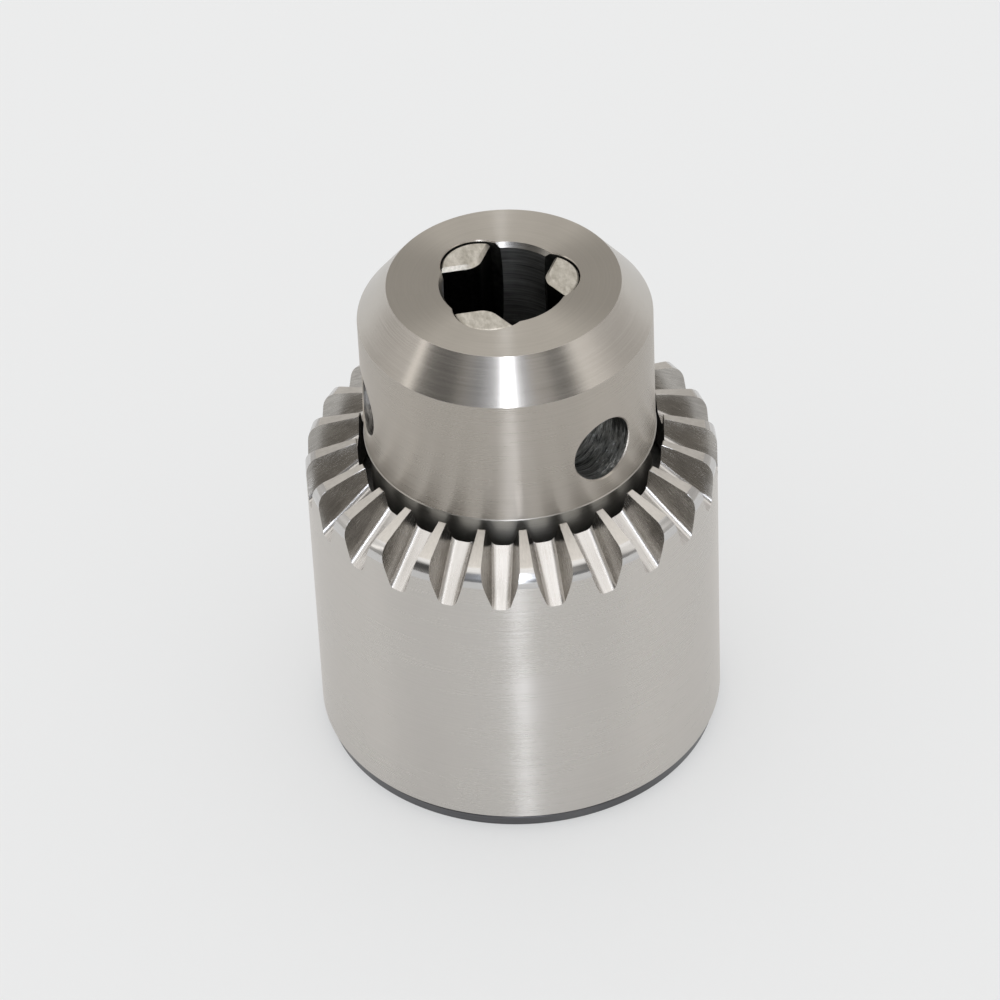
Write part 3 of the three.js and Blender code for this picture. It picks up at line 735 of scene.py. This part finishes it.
# ------------------------------------------------------------------- jaws
def make_jaw(number, angle):
    p0, p1 = at(*on_jaw(-5, 0), 0), at(*on_jaw(JAW_LENGTH, 0), 0)
    axis = (Vector(p1) - Vector(p0)).normalized()
    side = Vector((0, 1, 0))
    other = axis.cross(side)
    rings = []
    for t, r in ((-5, JAW_R), (JAW_LENGTH - 0.6, JAW_R), (JAW_LENGTH, JAW_R - 0.6)):
        c = Vector(at(*on_jaw(t, 0), 0))
        rings.append([c + (side * math.cos(q) + other * math.sin(q)) * r for q in np.linspace(0, 2 * math.pi, 120, endpoint=False)])
    jaw = loft(f"jaw_{number}_visual", rings)
    box = [(-20, -12), (20, -12), (20, 12), (-20, 12)]
    boolean(jaw, loft("c", [[(x, y, JAW_TIP_Z) for x, y in box], [(x, y, JAW_TIP_Z + 20) for x, y in box]]))
    far = GRIP_R + (12 - GRIP_W / 2) * GRIP_SLOPE
    # the gripping land runs into its two side flats through a round
    soft, turned = 1.5, math.atan(GRIP_SLOPE)
    cx, cy = GRIP_R + soft, GRIP_W / 2 - soft * math.tan(turned / 2)
    arc = [(cx - soft * math.cos(q), cy + soft * math.sin(q)) for q in np.linspace(0, turned, 7)]
    grip = [(-14, -12), (far, -12)] + [(x, -y) for x, y in arc[::-1]] + arc + [(far, 12), (-14, 12)]
    boolean(jaw, loft("c", [[(x, y, 22) for x, y in grip], [(x, y, 62) for x, y in grip]]))
    lead = 0.4
    boolean(jaw, loft("c", [[(x - 0.4, y, JAW_TIP_Z - lead - 0.4) for x, y in grip],
                            [(x + 1.6, y, JAW_TIP_Z - lead + 1.6) for x, y in grip]]))
    # broken edge round the outside of the tip
    cx = on_jaw((LENGTH - JAW_TIP_Z) / math.cos(TILT), 0)[0]
    rim = []
    for t in np.linspace(0, 2 * math.pi, 120, endpoint=False):
        n2 = Vector((math.cos(t) * math.cos(TILT), math.sin(t), math.cos(t) * math.sin(TILT))).normalized()
        rim.append(((cx + JAW_R / math.cos(TILT) * math.cos(t), JAW_R * math.sin(t), JAW_TIP_Z), (0, 0, 1), n2))
    boolean(jaw, chamfer_cutter("c", rim, 0.12))
    # rack
    comb = []
    half_top = RACK_TOP_W / 2 + (JAW_R + 0.1 - CAD_JAW_R) * FLANK
    half_root = RACK_TOP_W / 2 - (CAD_JAW_R - RACK_ROOT_H) * FLANK
    t = THREAD_T0 - PITCH * angle / 360
    while t - PITCH - half_top > RACK_START_T:
        t -= PITCH
    first = t
    while t < JAW_LENGTH + PITCH:
        comb += [on_jaw(t - half_top, JAW_R + 0.1), on_jaw(t - half_root, RACK_ROOT_H),
                 on_jaw(t + half_root, RACK_ROOT_H), on_jaw(t + half_top, JAW_R + 0.1)]
        t += PITCH
    comb += [on_jaw(t, JAW_R + 2), on_jaw(first - half_top, JAW_R + 2)]
    boolean(jaw, loft("c", [[(x, -5, z) for x, z in comb], [(x, 5, z) for x, z in comb]]))
    clean(jaw)

    def which(c, n, kind):
        if n[2] > 0.6 and c[2] > 55.6:
            return 0
        if kind < 0 and on_jaw(RACK_START_T - 1, 0)[1] > c[2]:
            return 2
        return 1

    finish_shape(jaw, (), [(p0, axis, JAW_R, 1)], classify=which, sharp=20)
    for v in jaw.data.vertices:
        x, y = v.co.x, v.co.y
        c, s = math.cos(angle * DEG), math.sin(angle * DEG)
        v.co.x, v.co.y = x * c - y * s, x * s + y * c
    return jaw


def make_jaws():
    for i, a in enumerate(JAW_ANGLES):
        # each jaw is made at angle zero, given its shading normals, and then its points are turned to its angle
        jaw = make_jaw(i + 1, a)
        dress(jaw, TIP, JAW, RACK)
        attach(jaw, f"jaw_{i + 1}")
        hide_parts(f"jaw_{i + 1}")


# ---------------------------------------------------- nut, bearing and balls
def make_inner():
    for name in ("nut_half_a", "nut_half_b"):
        NODES[name].data.materials.clear()
        NODES[name].data.materials.append(NUT)
    NODES["thrust_race"].data.materials.clear()
    NODES["thrust_race"].data.materials.append(BEARING)
    NODES["ball_cage"].data.materials.clear()
    NODES["ball_cage"].data.materials.append(BRASS)
    bm = bmesh.new()
    bmesh.ops.create_uvsphere(bm, u_segments=40, v_segments=20, radius=BALL_R * S)
    for i in range(BALLS):
        a = 360 * i / BALLS
        x, y, z = at(BALL_CIRCLE_R, BALL_Z, a)
        me = bpy.data.meshes.new(f"ball_{i + 1:02d}_visual")
        b2 = bm.copy()
        bmesh.ops.translate(b2, verts=b2.verts, vec=(x * S, y * S, z * S))
        b2.to_mesh(me)
        b2.free()
        me.polygons.foreach_set("use_smooth", np.ones(len(me.polygons), bool))
        me.materials.append(BEARING)
        o = bpy.data.objects.new(f"ball_{i + 1:02d}_visual", me)
        scene.collection.objects.link(o)
        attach(o, "bearing_unit")
        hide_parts(f"ball_{i + 1:02d}")
    bm.free()


# ---------------------------------------------------------- floor and light
def make_stage():
    me = bpy.data.meshes.new("floor")
    k = 12.0
    me.from_pydata([(-k, -k, -0.00002), (k, -k, -0.00002), (k, k, -0.00002), (-k, k, -0.00002)], [], [(0, 1, 2, 3)])
    o = bpy.data.objects.new("floor", me)
    scene.collection.objects.link(o)
    m, nt, b = nodes_of("floor_paper")
    b.inputs["Base Color"].default_value = (0.395, 0.39, 0.38, 1)
    b.inputs["Roughness"].default_value = 0.7
    b.inputs["Specular IOR Level"].default_value = 0.2
    b.inputs["Emission Color"].default_value = (0.97, 0.985, 1.0, 1)
    # towards the horizon the floor glows more, painted light standing in for paper that turns up into a backdrop, so it
    # gets as pale as the dome
    tc = node(nt, "ShaderNodeTexCoord")
    length = node(nt, "ShaderNodeVectorMath", operation="LENGTH")
    link(nt, tc.outputs["Object"], length.inputs[0])
    far = node(nt, "ShaderNodeMapRange", in_1=0.2, in_2=1.3, in_3=0.45, in_4=0.608, interpolation_type="SMOOTHSTEP")
    link(nt, length.outputs["Value"], far.inputs[0])
    link(nt, far.outputs[0], b.inputs["Emission Strength"])
    me.materials.append(m)


def ring_ramp(nt, angle, stops, scale):
    """Brightness round the room: stops are (degrees from the camera's side, value)."""
    r = node(nt, "ShaderNodeValToRGB")
    cr = r.color_ramp
    while len(cr.elements) > 1:
        cr.elements.remove(cr.elements[-1])
    for i, (d, v) in enumerate(stops):
        pos = (d + 180) / 360
        e = cr.elements[0] if i == 0 else cr.elements.new(pos)
        e.position = pos
        tint = (0.93, 0.98, 1.08) if -35 < d < 20 else (1.0, 0.975, 0.94)
        e.color = (v * tint[0] / scale, v * tint[1] / scale, v * tint[2] / scale, 1)
    link(nt, angle, r.inputs[0])
    return r.outputs[0]


def height_mask(nt, z, low, high):
    """0 below the elevation low (degrees), 1 above the elevation high."""
    m = node(nt, "ShaderNodeMapRange", in_1=math.sin(low * DEG), in_2=math.sin(high * DEG), in_3=0.0, in_4=1.0,
             interpolation_type="SMOOTHSTEP")
    link(nt, z, m.inputs[0])
    return m.outputs[0]


def make_world():
    """A pale studio: an even dome for what the floor and the camera see, and the same room with its lit and unlit
    walls for what the metal mirrors."""
    w = bpy.data.worlds.new("studio")
    scene.world = w
    w.use_nodes = True
    nt = w.node_tree
    nt.nodes.clear()
    out = node(nt, "ShaderNodeOutputWorld")
    even = node(nt, "ShaderNodeBackground")
    even.inputs[0].default_value = (0.985, 0.99, 1.0, 1)
    even.inputs[1].default_value = 1.0
    tc = node(nt, "ShaderNodeTexCoord")
    rotm = node(nt, "ShaderNodeVectorRotate", rotation_type="Z_AXIS")
    rotm.inputs["Angle"].default_value = -TURN
    link(nt, tc.outputs["Generated"], rotm.inputs["Vector"])
    s2 = node(nt, "ShaderNodeSeparateXYZ")
    link(nt, rotm.outputs[0], s2.inputs[0])
    neg = node(nt, "ShaderNodeMath", operation="MULTIPLY", in_1=-1.0)
    link(nt, s2.outputs[1], neg.inputs[0])
    ang = node(nt, "ShaderNodeMath", operation="ARCTAN2")
    link(nt, s2.outputs[0], ang.inputs[0])
    link(nt, neg.outputs[0], ang.inputs[1])
    unit = node(nt, "ShaderNodeMapRange", in_1=-math.pi, in_2=math.pi, in_3=0.0, in_4=1.0)
    link(nt, ang.outputs[0], unit.inputs[0])
    peak = 8.0
    middle = ring_ramp(nt, unit.outputs[0], [
        (-180, 0.56), (-130, 0.58), (-102, 0.84), (-88, 0.88), (-83, 0.9), (-79, 2.2), (-75, 0.8), (-71, 0.10),
        (-46, 0.09), (-37, 0.31), (-24, 0.36), (-15, 0.7), (-9, 1.1), (-5, 1.4), (-2.3, 8.0), (2.3, 8.0), (5, 1.4),
        (9, 1.1), (14, 0.65), (22, 0.52), (32, 0.40), (40, 0.16), (50, 0.16), (56, 0.6), (62, 1.1), (76, 1.05),
        (86, 0.85), (94, 0.66), (105, 0.56), (140, 0.56), (180, 0.56)], peak)
    low = ring_ramp(nt, unit.outputs[0], [
        (-180, 0.7), (-120, 0.62), (-90, 0.6), (-70, 0.36), (-45, 0.2), (-8, 0.26), (-4, 0.5), (-2.3, 5.0), (2.3, 5.0), (4, 0.5), (8, 0.26),
        (45, 0.22), (65, 0.42), (90, 0.6), (120, 0.62), (180, 0.7)], peak)
    high = node(nt, "ShaderNodeRGB")
    high.outputs[0].default_value = (1.30 / peak, 1.28 / peak, 1.25 / peak, 1)
    a = node(nt, "ShaderNodeMix", data_type="RGBA")
    link(nt, height_mask(nt, s2.outputs[2], 12, 24), a.inputs[0])
    link(nt, low, a.inputs[6])
    link(nt, middle, a.inputs[7])
    b = node(nt, "ShaderNodeMix", data_type="RGBA")
    link(nt, height_mask(nt, s2.outputs[2], 44, 62), b.inputs[0])
    link(nt, a.outputs[2], b.inputs[6])
    link(nt, high.outputs[0], b.inputs[7])
    room = node(nt, "ShaderNodeBackground")
    room.inputs[1].default_value = peak
    link(nt, b.outputs[2], room.inputs[0])
    lp = node(nt, "ShaderNodeLightPath")
    pick = node(nt, "ShaderNodeMixShader")
    link(nt, lp.outputs["Is Glossy Ray"], pick.inputs[0])
    link(nt, even.outputs[0], pick.inputs[1])
    link(nt, room.outputs[0], pick.inputs[2])
    link(nt, pick.outputs[0], out.inputs[0])


make_body()
make_sleeve()
make_jaws()
make_inner()
make_stage()
make_world()
